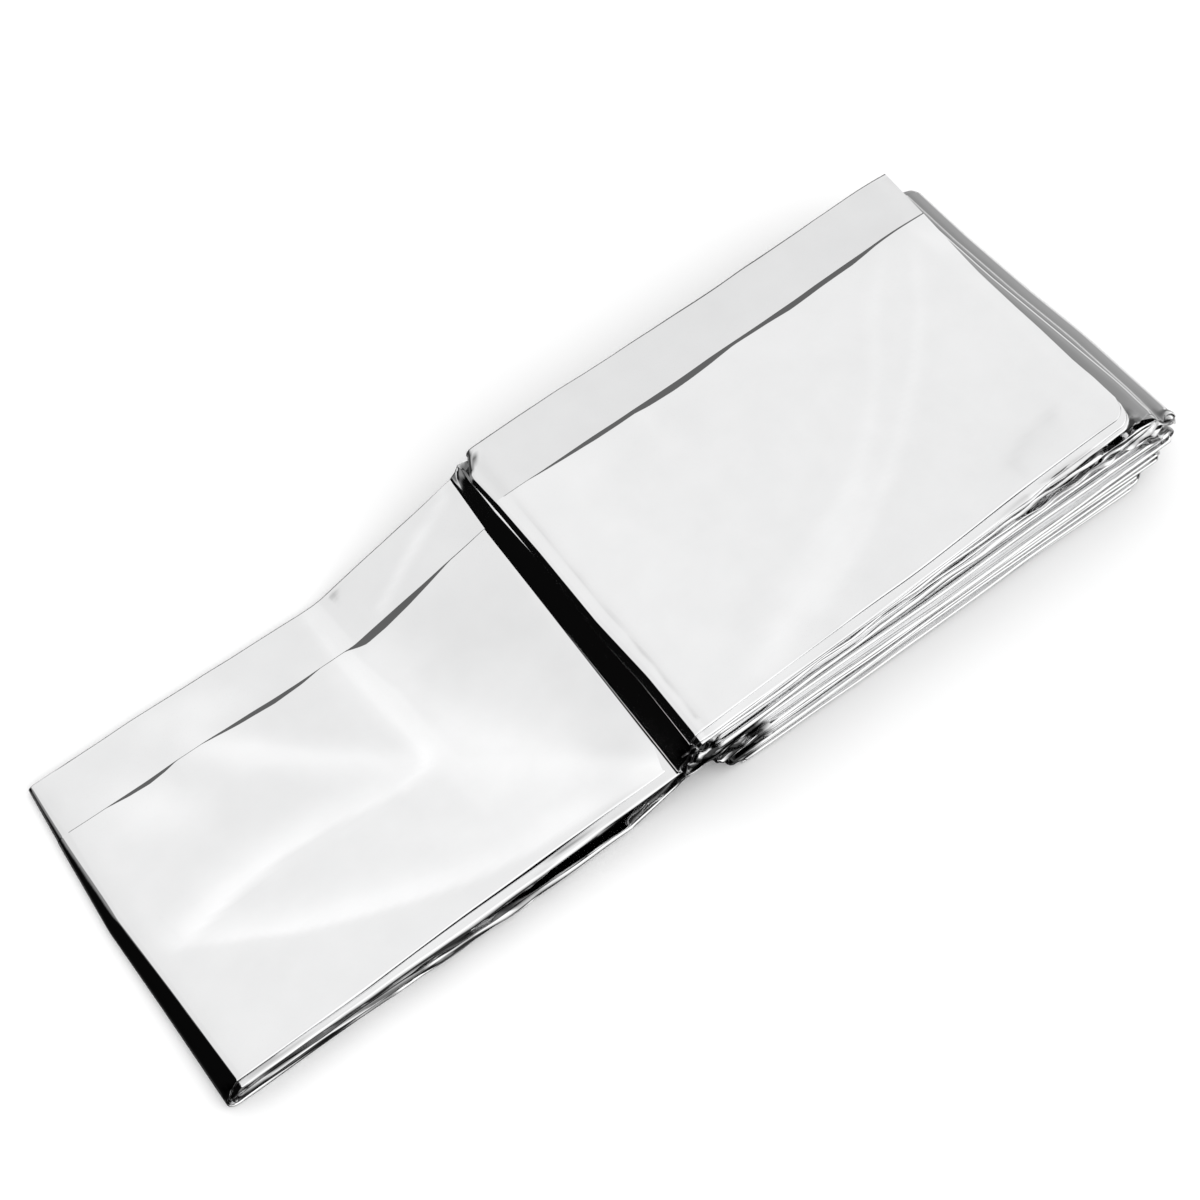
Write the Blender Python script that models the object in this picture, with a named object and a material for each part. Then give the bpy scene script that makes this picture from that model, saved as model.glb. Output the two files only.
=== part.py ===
"""Emergency foil blanket, half drawn out of its packed folds.

The film is folded lengthwise into a band, and the band runs back and forth in twelve levels.
Its seventh and eighth levels are drawn out to the left as one long double run, which lies on the
surface and then climbs over the six levels below it.  The band is one closed solid: its section
in XZ is a serpentine strip, and the section changes from the near edge to the far edge.

Design axes, in mm: X along the band, with the packet's left end near 0; Y across the band from
the near edge; Z up from the surface.  At the end the mesh is moved so that the origin is the
middle of the bounding box's bottom face.
"""

import math
from collections import namedtuple

import bmesh
import bpy

MM = 0.001

# Driving sizes, mm
BAND_WIDTH = 80.0  # the film folded lengthwise
PANEL = 115.0  # length between two cross folds
SHEET = 1.0  # thickness of the pressed band
LOOSE_SHEET = 3.0  # at the near edge of the drawn-out run, where the plies stand apart
FLAP_WIDTH = 66.5  # the outermost ply ends here, short of the far edge
FLAP_RISE = 0.4  # height of that ply's edge
CORNER = 4.0  # rounding of the top level's near right corner
EDGE_WAVE, WAVE_LENGTH = 0.25, 74.0  # how unevenly the long edges lie
WAVE_TURN = 2.4  # radians between one level's wave and the next one's

# One row a level, bottom to top: height of the middle of the sheet at the packet's four corners,
# Y of the near edge at the packet's left end, and how far further in it lies a panel to the right.
Level = namedtuple("Level", "near_left near_right far_left far_right inset skew")
LEVELS = (
    Level(0.5, 0.5, 0.5, 0.5, -1.1, 1.2),
    Level(1.9, 2.5, 3.0, 2.7, -1.4, 1.5),
    Level(3.3, 4.8, 6.0, 4.8, -0.6, 1.0),
    Level(4.7, 7.4, 8.8, 6.9, -1.2, 1.2),
    Level(6.0, 9.6, 11.3, 9.0, -0.4, 0.6),
    Level(7.4, 12.2, 13.8, 11.1, -0.9, 0.9),
    Level(9.0, 14.4, 15.8, 13.2, 0.1, 0.8),
    Level(12.4, 17.4, 17.6, 15.3, 0.5, 1.3),
    Level(14.4, 20.3, 19.1, 17.4, 0.0, 1.8),
    Level(19.6, 23.2, 20.5, 19.5, 0.8, 2.2),
    Level(21.2, 26.0, 21.9, 21.6, 0.5, 3.0),
    Level(23.9, 28.8, 23.2, 23.6, 1.2, 3.4),
)
TOP = len(LEVELS)
LOWER_RUN, UPPER_RUN = 7, 8  # the two levels that are drawn out to the left

# X of something that runs across the band, at its near and at its far edge.
Line = namedtuple("Line", "near far")
BOTTOM_END = Line(114.5, 111.5)
TOP_END = Line(113.0, 113.5)
# One row a cross fold: X of its tip, and how far its upper side stands back from the lower one.
# Row 1 joins levels 1 and 2, and so on.  Odd rows are at the left.
Fold = namedtuple("Fold", "near far back_near back_far")
FOLDS = (
    Fold(6.8, 8.0, 0.3, 0.0),
    Fold(116.5, 112.5, 0.0, 0.3),
    Fold(3.8, 6.5, 0.2, 0.4),
    Fold(121.0, 114.5, 0.6, 0.4),
    Fold(1.2, 4.0, 0.2, 0.6),
    Fold(124.0, 117.6, 0.4, 0.6),
    Fold(-115.4, -114.2, 1.6, 0.2),
    Fold(125.2, 119.8, 1.6, 1.2),
    Fold(-8.6, -6.8, 3.2, 1.6),
    Fold(119.2, 115.2, 2.2, 0.6),
    Fold(-5.2, -2.4, 0.9, 0.4),
)
RUN_FOLD = FOLDS[LOWER_RUN - 1]

# The drawn-out run: where it leaves the surface, where it reaches the packet, and how far its
# two levels open.
LIFT = Line(-21.0, -46.0)
CREST = Line(-5.0, -9.0)
RUN_NEAR_TOP = 8.0  # height of its near left corner
RUN_FAR_GAP = 0.6  # clear height between its levels at the far edge
LOOSE_UNTIL, LOOSE_FADE = -10.0, 18.0  # where the loose edge is pressed again
BEND = 0.12  # share of the climb over which it bends at either end

# The right ends sag a little past SAG_FROM, by SAG_SHARE of their height.
SAG_FROM, SAG_OVER, SAG_SHARE = 104.0, 20.0, 0.05

# The flap's edge shows on the drawn-out run and on the top level, and fades at their ends.
FLAP_FADE = 5.0
RUN_FLAP = (-112.0, -12.0)
TOP_FLAP = (0.0, 200.0)

# Stations across the band, as shares of its width; two close ones make the step at the flap.
FLAP_AT = FLAP_WIDTH / BAND_WIDTH
FLAP_STEP = 0.004
ACROSS = (0.0, 0.06, 0.18, 0.32, 0.48, 0.66, FLAP_AT - FLAP_STEP, FLAP_AT + FLAP_STEP, 0.93, 1.0)

PACKET_STEPS = 6  # along a packed level
RUN_STEPS = 18  # along a drawn-out level
FOLD_STEPS = 8  # round a cross fold
CORNER_STEPS = 4  # round the top level's corner
FLOOR_SNAP = 0.05  # what lies lower than this rests on the surface
SHARP_EDGE = math.radians(40.0)

# One point of the section: middle of the sheet, its thickness, its Y at both edges, flap's rise.
Point = namedtuple("Point", "x z sheet near_y far_y flap")


def mix(a, b, share):
    return a + (b - a) * share


def clamp(value):
    return min(max(value, 0.0), 1.0)


def smooth(value):
    """0 below 0, 1 above 1, and a soft S between."""
    value = clamp(value)
    return value * value * (3.0 - 2.0 * value)


def climb(value):
    """0 below 0, 1 above 1, and an even slope between that bends softly at its ends."""
    slope = 1.0 / (1.0 - BEND)
    value = clamp(value)
    if value < BEND:
        return 0.5 * slope * value**2 / BEND
    if value > 1.0 - BEND:
        return 1.0 - 0.5 * slope * (1.0 - value) ** 2 / BEND
    return slope * (value - BEND / 2.0)


def at(line, v):
    """X of a line at share v of the width."""
    return mix(line.near, line.far, v)


def sheet_thickness(level, x, v):
    """The pressed sheet, but for the run's near edge, where the plies stand apart."""
    if level not in (LOWER_RUN, UPPER_RUN):
        return SHEET
    looseness = (1.0 - v) ** 2 * smooth((LOOSE_UNTIL - x) / LOOSE_FADE)
    return mix(SHEET, LOOSE_SHEET, looseness)


def packed_height(level, x, v):
    """Height of a level's middle inside the packet."""
    row = LEVELS[level - 1]
    share = max(x / PANEL, 0.0)
    near = mix(row.near_left, row.near_right, share)
    far = mix(row.far_left, row.far_right, share)
    base = LEVELS[0].near_left
    sag = SAG_SHARE * smooth((x - SAG_FROM) / SAG_OVER)
    return mix(mix(near, far, v), base, sag)


def run_height(level, x, v):
    """Height of a drawn-out level's middle, left of the packet."""
    row = LEVELS[level - 1]
    if level == LOWER_RUN:
        lift = at(LIFT, v)
        on_surface = sheet_thickness(level, x, v) / 2.0
        packed = packed_height(level, 0.0, v)
        return mix(on_surface, packed, climb((x - lift) / (at(CREST, v) - lift)))
    near_start = RUN_NEAR_TOP - LOOSE_SHEET / 2.0
    near = mix(near_start, row.near_left, (x - RUN_FOLD.near) / -RUN_FOLD.near)
    far_start = 1.5 * SHEET + RUN_FAR_GAP
    far = mix(far_start, row.far_left, climb((x - LIFT.far) / (CREST.far - LIFT.far)))
    return mix(near, far, v)


def height(level, x, v):
    if level in (LOWER_RUN, UPPER_RUN) and x < 0.0:
        return run_height(level, x, v)
    return packed_height(level, x, v)


def edges(level, x):
    """Y of a level's near and far edge, with the top level's rounded corner."""
    row = LEVELS[level - 1]
    wave = 2.0 * math.pi * x / WAVE_LENGTH + level * WAVE_TURN
    near = row.inset + row.skew * x / PANEL
    far = near + BAND_WIDTH + EDGE_WAVE * math.cos(wave)
    near += EDGE_WAVE * math.sin(wave)
    past = x - (TOP_END.near - CORNER)
    if level == TOP and past > 0.0:
        near += CORNER - math.sqrt(max(CORNER**2 - past**2, 0.0))
    return near, far


def flap_rise(level, x):
    """How far the outermost ply stands proud of the sheet, faded at its ends."""
    spans = {UPPER_RUN: RUN_FLAP, TOP: TOP_FLAP}
    if level not in spans:
        return 0.0
    start, stop = spans[level]
    return FLAP_RISE * smooth((x - start) / FLAP_FADE) * smooth((stop - x) / FLAP_FADE)


def level_point(level, x, v):
    sheet = sheet_thickness(level, x, v)
    return Point(x, height(level, x, v), sheet, *edges(level, x), flap_rise(level, x))


def fold_sides(row, v):
    """X where a cross fold's lower and upper side start to turn, and its radius."""
    fold = FOLDS[row - 1]
    tip = at(fold, v)
    radius = (height(row + 1, tip, v) - height(row, tip, v)) / 2.0
    inward = 1.0 if row % 2 else -1.0
    lower = tip + inward * radius
    return lower, lower + inward * mix(fold.back_near, fold.back_far, v), radius


def level_ends(level, v):
    """X where a level's straight part starts and stops, in the band's order."""
    start = at(BOTTOM_END, v) if level == 1 else fold_sides(level - 1, v)[1]
    stop = at(TOP_END, v) if level == TOP else fold_sides(level, v)[0]
    return start, stop


def level_path(level, v):
    """Points along one level, closer together round the top level's corner."""
    start, stop = level_ends(level, v)
    steps = RUN_STEPS if level in (LOWER_RUN, UPPER_RUN) else PACKET_STEPS
    shares = [step / steps for step in range(steps + 1)]
    if level == TOP:
        corner = CORNER / (stop - start)
        turns = [math.sin(math.pi / 2.0 * step / CORNER_STEPS) for step in range(CORNER_STEPS + 1)]
        shares = shares[:-1] + [1.0 - corner * (1.0 - turn) for turn in turns]
    return [level_point(level, mix(start, stop, share), v) for share in shares]


def fold_path(row, v):
    """Points round one cross fold, between the two levels that it joins."""
    lower, upper, radius = fold_sides(row, v)
    below = level_point(row, lower, v)
    above = level_point(row + 1, upper, v)
    outward = -1.0 if row % 2 else 1.0
    points = []
    for step in range(1, FOLD_STEPS):
        share = step / FOLD_STEPS
        angle = math.pi * (share - 0.5)
        rise = 0.5 + 0.5 * math.sin(angle)
        points.append(
            Point(
                mix(lower, upper, rise) + outward * radius * math.cos(angle),
                mix(below.z, above.z, rise),
                mix(below.sheet, above.sheet, share),
                mix(below.near_y, above.near_y, share),
                mix(below.far_y, above.far_y, share),
                mix(below.flap, above.flap, share),
            )
        )
    return points


def section_path(v):
    """The whole band's section at share v of its width, from its bottom end to its top end."""
    points = []
    for level in range(1, TOP + 1):
        points += level_path(level, v)
        if level < TOP:
            points += fold_path(level, v)
    return points


def section_faces(v):
    """Both faces of the sheet along the section, as rows of (x, y, z).

    The outer face is on top of the even levels, so it carries the flap."""
    path = section_path(v)
    outer, inner = [], []
    for index, point in enumerate(path):
        before = path[max(index - 1, 0)]
        after = path[min(index + 1, len(path) - 1)]
        run, rise = after.x - before.x, after.z - before.z
        length = math.hypot(run, rise)
        normal_x, normal_z = -rise / length, run / length
        flap = point.flap if v < FLAP_AT else 0.0
        y = mix(point.near_y, point.far_y, v)
        for side, reach in ((outer, point.sheet / 2.0 + flap), (inner, -point.sheet / 2.0)):
            z = point.z + normal_z * reach
            side.append((point.x + normal_x * reach, y, z if z > FLOOR_SNAP else 0.0))
    return outer, inner


def skin(mesh, rows):
    """Quads between neighbouring rows of vertices."""
    for row, following in zip(rows, rows[1:]):
        for corner in range(len(row) - 1):
            quad = (row[corner], row[corner + 1], following[corner + 1], following[corner])
            mesh.faces.new(quad)


def foil_material():
    material = bpy.data.materials.new("metallised_film")
    material.use_nodes = True
    shader = material.node_tree.nodes["Principled BSDF"]
    shader.inputs["Base Color"].default_value = (0.88, 0.88, 0.89, 1.0)
    shader.inputs["Metallic"].default_value = 1.0
    shader.inputs["Roughness"].default_value = 0.12
    return material


def move_to_origin(mesh):
    """Put the origin at the middle of the box's bottom face, and turn mm into metres."""
    low = [min(vert.co[axis] for vert in mesh.verts) for axis in range(3)]
    high = [max(vert.co[axis] for vert in mesh.verts) for axis in range(3)]
    origin = ((low[0] + high[0]) / 2.0, (low[1] + high[1]) / 2.0, low[2])
    for vert in mesh.verts:
        vert.co = [(vert.co[axis] - origin[axis]) * MM for axis in range(3)]


def foil_blanket():
    """The folded blanket as one closed strip, lofted across its width."""
    mesh = bmesh.new()
    sections = [section_faces(v) for v in ACROSS]
    outer = [[mesh.verts.new(place) for place in faces[0]] for faces in sections]
    inner = [[mesh.verts.new(place) for place in faces[1]] for faces in sections]
    skin(mesh, outer)
    skin(mesh, inner)
    for edge in (0, -1):
        skin(mesh, [outer[edge], inner[edge]])
        skin(mesh, [[row[edge] for row in outer], [row[edge] for row in inner]])
    bmesh.ops.recalc_face_normals(mesh, faces=mesh.faces)
    move_to_origin(mesh)

    data = bpy.data.meshes.new("foil_blanket")
    mesh.to_mesh(data)
    mesh.free()
    data.shade_smooth()
    data.set_sharp_from_angle(angle=SHARP_EDGE)
    data.materials.append(foil_material())
    blanket = bpy.data.objects.new("foil_blanket", data)
    bpy.context.scene.collection.objects.link(blanket)


def main():
    for old in list(bpy.data.objects):
        bpy.data.objects.remove(old, do_unlink=True)
    foil_blanket()


main()
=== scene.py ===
"""Looks of the emergency foil blanket: mirror-bright film, half drawn out of its packed folds.

The film is folded lengthwise into a band of six plies, and the band runs back and forth in twelve
levels.  Levels 7 and 8 are drawn out to the left as one double run.  The film is made as thin
sheet on the folds of the solid, so the solid's own sizes are repeated here, in its design axes:
mm, X along the band with the packet's left end near 0, Y across the band from the near edge, Z up.
A share v goes across the band, 0 at its near and 1 at its far edge.
"""

import math
from collections import namedtuple

import bpy
import numpy as np
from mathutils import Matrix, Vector


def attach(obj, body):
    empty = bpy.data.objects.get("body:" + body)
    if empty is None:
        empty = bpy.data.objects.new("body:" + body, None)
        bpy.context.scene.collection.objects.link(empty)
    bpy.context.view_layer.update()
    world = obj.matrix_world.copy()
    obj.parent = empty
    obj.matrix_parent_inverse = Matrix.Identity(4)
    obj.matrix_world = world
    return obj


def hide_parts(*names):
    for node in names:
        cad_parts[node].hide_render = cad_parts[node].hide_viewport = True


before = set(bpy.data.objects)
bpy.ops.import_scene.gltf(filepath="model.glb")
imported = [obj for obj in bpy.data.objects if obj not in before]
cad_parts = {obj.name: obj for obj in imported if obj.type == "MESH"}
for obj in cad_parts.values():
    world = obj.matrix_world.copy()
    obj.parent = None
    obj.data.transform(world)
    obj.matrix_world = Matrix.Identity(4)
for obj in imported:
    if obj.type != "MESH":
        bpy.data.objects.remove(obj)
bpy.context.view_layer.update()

MM = 0.001
ORIGIN = np.array((4.437, 41.630, 0.0))  # the row frame's origin in the design axes

# ---- the solid's sizes, mm
BAND_WIDTH = 80.0  # the film folded lengthwise
PANEL = 115.0  # length between two cross folds
SHEET, LOOSE_SHEET = 1.0, 3.0  # thickness of the pressed band, and of the run's loose near edge
FLAP_WIDTH = 66.5  # the outermost ply ends here, short of the far edge
CORNER = 4.0  # rounding of the top level's near right corner

# One row a level, bottom to top: height of its middle at the packet's four corners, Y of its near
# edge at the packet's left end, and how far further in that edge lies a panel to the right.
Level = namedtuple("Level", "near_left near_right far_left far_right inset skew")
LEVELS = (
    Level(0.5, 0.5, 0.5, 0.5, -1.1, 1.2),
    Level(1.9, 2.5, 3.0, 2.7, -1.4, 1.5),
    Level(3.3, 4.8, 6.0, 4.8, -0.6, 1.0),
    Level(4.7, 7.4, 8.8, 6.9, -1.2, 1.2),
    Level(6.0, 9.6, 11.3, 9.0, -0.4, 0.6),
    Level(7.4, 12.2, 13.8, 11.1, -0.9, 0.9),
    Level(9.0, 14.4, 15.8, 13.2, 0.1, 0.8),
    Level(12.4, 17.4, 17.6, 15.3, 0.5, 1.3),
    Level(14.4, 20.3, 19.1, 17.4, 0.0, 1.8),
    Level(19.6, 23.2, 20.5, 19.5, 0.8, 2.2),
    Level(21.2, 26.0, 21.9, 21.6, 0.5, 3.0),
    Level(23.9, 28.8, 23.2, 23.6, 1.2, 3.4),
)
TOP = len(LEVELS)
LOWER_RUN, UPPER_RUN = 7, 8  # the two levels that are drawn out to the left

# X of something that runs across the band, at its near and at its far edge.
Line = namedtuple("Line", "near far")
BOTTOM_END = Line(114.5, 111.5)
# One row a cross fold, from the one that joins levels 1 and 2 up to the run's own: X of its tip,
# and how far its upper side stands back from the lower one.
Fold = namedtuple("Fold", "near far back_near back_far")
FOLDS = (
    Fold(6.8, 8.0, 0.3, 0.0),
    Fold(116.5, 112.5, 0.0, 0.3),
    Fold(3.8, 6.5, 0.2, 0.4),
    Fold(121.0, 114.5, 0.6, 0.4),
    Fold(1.2, 4.0, 0.2, 0.6),
    Fold(124.0, 117.6, 0.4, 0.6),
    Fold(-115.4, -114.2, 1.6, 0.2),
)
RUN_FOLD = FOLDS[LOWER_RUN - 1]
LIFT = Line(-21.0, -46.0)  # where the run's lower level leaves the surface
CREST = Line(-5.0, -9.0)  # where it reaches the packet
UPPER_CREST = -5.5  # where the upper level's far edge stops climbing, under the fold above it
RUN_NEAR_TOP = 8.0  # height of the run's near left corner
RUN_FAR_GAP = 0.6  # clear height between its levels at the far edge
LOOSE_UNTIL, LOOSE_FADE = -10.0, 18.0  # X where its near edge is pressed again, and over how far
BEND = 0.12  # share of the climb over which it bends at either end
# The right ends sag a little past SAG_FROM, by SAG_SHARE of their height.
SAG_FROM, SAG_OVER, SAG_SHARE = 104.0, 20.0, 0.05

# ---- the folds that show, mm
# By the level under the fold: X of its tip by v, and its line from the lower to the upper level by
# v, as mm in from the tip and share of the way up.  The first is the run's own.  The packet's
# droop, so a slope shows past the edge of the level above.
Shape = namedtuple("Shape", "tips profiles")
SHAPES = {
    7: Shape(
        ((0.0, -115.8), (0.3, -116.1), (0.55, -116.5), (0.8, -115.4), (1.0, -114.35)),
        (
            (0.0, (
                (3.4, 0.0), (1.3, -0.02), (0.3, 0.08), (0.0, 0.24), (0.15, 0.40), (0.8, 0.58),
                (1.7, 0.76), (2.7, 0.92), (3.8, 1.01), (6.0, 1.0),
            )),
            (0.55, (
                (3.2, 0.0), (1.3, -0.02), (0.3, 0.08), (0.0, 0.26), (0.15, 0.44), (0.6, 0.64),
                (1.2, 0.80), (1.9, 0.94), (2.9, 1.01), (5.5, 1.0),
            )),
            (1.0, (
                (3.0, 0.0), (1.2, 0.0), (0.3, 0.1), (0.0, 0.35), (0.1, 0.62), (0.35, 0.85),
                (0.8, 0.97), (1.6, 1.0), (3.0, 1.0), (5.0, 1.0),
            )),
        ),
    ),
    8: Shape(
        ((0.0, 124.7), (0.35, 123.3), (0.55, 121.6), (0.8, 120.1), (1.0, 119.5)),
        (
            (0.0, (
                (4.0, 0.0), (1.6, -0.08), (0.4, -0.12), (0.0, 0.0), (0.3, 0.20), (1.2, 0.42),
                (2.6, 0.62), (3.9, 0.78), (4.4, 0.94), (6.2, 1.12), (8.5, 1.15), (12.5, 1.0),
            )),
            (1.0, (
                (4.0, 0.0), (1.6, -0.08), (0.4, -0.12), (0.0, 0.0), (0.3, 0.20), (1.2, 0.44),
                (2.6, 0.68), (3.9, 0.84), (4.3, 0.98), (6.0, 1.12), (8.5, 1.15), (12.5, 1.0),
            )),
        ),
    ),
    9: Shape(
        ((0.0, -8.0), (0.3, -8.3), (0.6, -8.65), (0.83, -8.95), (1.0, -8.4)),
        (
            (0.0, (
                (2.4, -0.10), (1.2, -0.16), (0.4, -0.20), (0.0, -0.15), (0.5, 0.10), (1.3, 0.38),
                (2.4, 0.70), (3.3, 0.93), (4.2, 1.06), (5.2, 1.08), (6.8, 1.0),
            )),
            (0.3, (
                (2.4, -0.10), (1.2, -0.17), (0.4, -0.22), (0.0, -0.17), (0.5, 0.06), (1.4, 0.34),
                (2.5, 0.66), (3.6, 0.94), (4.5, 1.08), (5.6, 1.10), (7.5, 1.0),
            )),
            (0.65, (
                (2.4, -0.10), (1.2, -0.18), (0.4, -0.22), (0.0, -0.16), (0.6, 0.10), (1.5, 0.42),
                (2.6, 0.78), (3.6, 1.08), (4.4, 1.14), (5.6, 1.10), (7.0, 1.0),
            )),
            (1.0, (
                (2.4, -0.20), (1.2, -0.30), (0.4, -0.35), (0.0, -0.22), (0.6, 0.12), (1.3, 0.54),
                (2.1, 0.98), (2.8, 1.28), (3.8, 1.30), (5.0, 1.20), (6.4, 1.0),
            )),
        ),
    ),
    10: Shape(
        ((0.0, 118.6), (0.35, 116.2), (0.6, 114.4), (0.88, 113.3), (1.0, 113.0)),
        (
            (0.0, (
                (4.0, 0.0), (1.6, -0.12), (0.4, -0.20), (0.0, -0.10), (0.3, 0.10), (1.2, 0.34),
                (3.0, 0.62), (5.8, 1.00), (8.5, 1.30), (10.5, 1.36), (13.0, 1.22), (16.0, 1.0),
            )),
            (1.0, (
                (4.0, 0.0), (1.5, -0.10), (0.4, -0.12), (0.0, 0.02), (0.25, 0.30), (0.8, 0.56),
                (1.8, 0.80), (3.4, 1.04), (5.2, 1.12), (7.2, 1.10), (9.5, 1.02), (12.0, 1.0),
            )),
        ),
    ),
    11: Shape(
        ((0.0, -5.0), (0.2, -4.8), (0.4, -5.6), (0.65, -5.4), (0.82, -5.6), (0.94, -6.2), (1.0, -3.4)),
        (
            (0.0, (
                (1.8, 0.0), (0.9, 0.0), (0.2, 0.06), (0.0, 0.20), (0.4, 0.52), (1.0, 0.80),
                (1.7, 0.93), (2.7, 1.0), (3.6, 1.0),
            )),
            (0.4, (
                (1.8, 0.0), (0.9, 0.0), (0.2, 0.06), (0.0, 0.20), (0.3, 0.52), (0.8, 0.80),
                (1.6, 0.94), (2.7, 1.0), (3.6, 1.0),
            )),
            (0.8, (
                (1.8, 0.0), (0.9, 0.0), (0.2, 0.08), (0.0, 0.25), (0.15, 0.55), (0.45, 0.80),
                (1.1, 0.94), (2.2, 1.0), (3.4, 1.0),
            )),
        ),
    ),
}
# X of the top level's end by v.
TOP_END = (
    (0.0, 111.7), (0.1, 111.6), (0.18, 111.2), (0.33, 111.1), (0.55, 110.5), (0.75, 111.3),
    (0.89, 111.9), (1.0, 112.2),
)

# ---- the film's sizes, mm
PLIES = 6
FILL = 0.42  # reach of a level's plies towards the next level, as a share of the gap
OPEN_REACH = 0.5  # reach on a side with nothing above or below it
PINCH = 0.5  # how far the plies close up in a shaped fold
UPPER_FREE_TO, LOWER_FREE_TO = -12.0, -2.0  # X where the run goes in under and over other levels
BIGHT_DEPTH = 0.5  # how far a lengthwise fold rounds out
BIGHT_STEPS = 6
FLOOR_CLEAR = 0.04
# Slight waves of the outer ply: their height, direction in X and Y, length and seed, how far they
# stay from a level's ends, and over how far they rise from there and from the near edge.
UNEVEN = 0.14
UNEVEN_WAVES = ((1.0, 0.6, 46.0, 71), (-0.4, 1.0, 39.0, 72))
UNEVEN_MARGIN, UNEVEN_RISE, UNEVEN_NEAR_RISE = 4.0, 16.0, 14.0
CREASE_TOP = 0.7  # how far a crease's top lies left of its line, in steep widths
RELIEF_STOP = 2.0  # X where the run's creases stop, inside the packet
RUN_FACE, TOP_FACE = 0.5, 0.3  # how far into their folds the run's and the top's outer face goes
UNDER_FLAP_FROM, UNDER_FLAP_OVER = 60.0, 5.0  # where the ply under the flap has the relief too
# Tone of the outermost and innermost ply, and of those between, in the packet and on the run.
OUTER_TONE, RUN_OUTER_TONE = 0.95, 0.885
BETWEEN_TONE, RUN_BETWEEN_TONE = 0.865, 0.87
NEAR_FOLD_SHARE = 0.3  # every ply has the outer tone this far across from its near fold

# How far a level's three near folds lie inside its edge, from the flap's ply to the last one.
NEAR_FOLDS = (
    (0.4, -0.6, 0.7),
    (0.6, 0.5, -0.7),
    (-0.8, 0.5, 0.3),
    (0.4, -0.6, 0.8),
    (0.9, 0.3, -0.8),
    (-0.6, 0.9, 0.4),
    (0.2, 0.6, -0.3),
    (1.9, -0.2, 1.0),
    (0.7, -0.7, 0.4),
    (-0.8, 0.6, 1.6),
    (0.5, 0.4, -0.9),
    (0.3, -1.7, -2.0),
)
# How far the far folds stand out; the first is the flap's edge.
FAR_FOLDS = (FLAP_WIDTH - BAND_WIDTH, 0.1, -0.35, -0.8)
# Share of a level's thickness between its plies, where the fold that stands out is the thick one.
LEADING_PAIR, OTHER_PAIR, BETWEEN_PAIRS = 0.36, 0.12, 0.2
# The same on the run, space by space from the outer side.
RUN_SPACES = {LOWER_RUN: (0.2, 0.1, 0.2, 0.1, 0.4), UPPER_RUN: (0.05, 0.05, 0.3, 0.1, 0.5)}
# How the fold lines and the spaces change along the band: first seed, length and amount of a slow
# wave, and of a quick one.
Drift = namedtuple("Drift", "seed slow slow_amount quick quick_amount")
NEAR_DRIFT = Drift(0, 150.0, 0.4, 55.0, 0.11)
FAR_DRIFT = Drift(5000, 130.0, 0.3, 29.0, 0.08)
SPACE_DRIFT = Drift(9000, 90.0, 0.6, 37.0, 0.25)
# Gaps opened between two levels at their near edge: lower level, X where it starts and is full
# open, how much of the plies' reach it takes, and how far in it goes.
Mouth = namedtuple("Mouth", "level start full share depth")
MOUTHS = (
    Mouth(11, 88.0, 106.0, 0.75, 400.0),
    Mouth(10, 84.0, 106.0, 0.95, 14.0),
    Mouth(9, 84.0, 100.0, 0.6, 10.0),
    Mouth(6, 20.0, 70.0, 0.22, 8.0),
)
# How far the run's loose plies hang down from its upper level at the near edge, and stand up from
# its lower one, along X.
HANG = (
    (-117.0, 2.3), (-95.0, 3.2), (-72.0, 4.3), (-45.0, 4.9), (-33.0, 4.2), (-21.0, 3.0),
    (-8.0, 0.5),
)
STAND = ((-117.0, 2.3), (-72.0, 2.7), (-45.0, 1.6), (-21.0, 1.2), (-10.0, 0.5))
LOOSE_DEPTH = 14.0  # how far in from the near edge the plies are together again
CLOSE_FROM, CLOSE_OVER = 3.0, 14.0  # X where the run's two levels close up again

# The flap's free edge turns down in places: width of the turned strip along X, drawn-out run and
# packet; it shows as dark slivers.
RUN_LIP = (
    (-104.0, 0.0), (-99.0, 0.8), (-94.0, 1.1), (-90.0, 0.7), (-87.0, 0.0), (-81.0, 0.0),
    (-72.0, 0.9), (-64.0, 1.25), (-57.0, 0.8), (-52.0, 0.0), (-45.5, 0.0), (-41.0, 1.9),
    (-36.0, 2.1), (-30.0, 1.7), (-24.0, 0.9), (-18.0, 0.1), (-9.4, 0.0),
)
PACKET_LIP = (
    (3.0, 0.0), (12.0, 0.7), (20.0, 1.2), (30.0, 1.1), (33.0, 1.55), (40.0, 1.9), (45.0, 1.8),
    (50.0, 1.6), (57.0, 0.8), (66.0, 1.0), (72.0, 1.55), (82.0, 1.35), (90.0, 1.3), (97.0, 0.45),
    (104.0, 0.15), (111.0, 0.0),
)
LIP_LEAST = 0.14  # width of the turned strip where none shows
LIP_SLOPE = 0.31  # how steeply it comes down
LIP_FOOT = 0.93  # share of its width at which it lies flat again
LIP_RAISE_OVER = 13.0  # how far inside its edge the flap starts to rise

# A soft stroke on the run's or the top level's outer face: its amount, how far it fades out to the
# left and to the right of the way along it, and X, Y in from the near edge and share at each point.
Stroke = namedtuple("Stroke", "level amount left right points")
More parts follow.
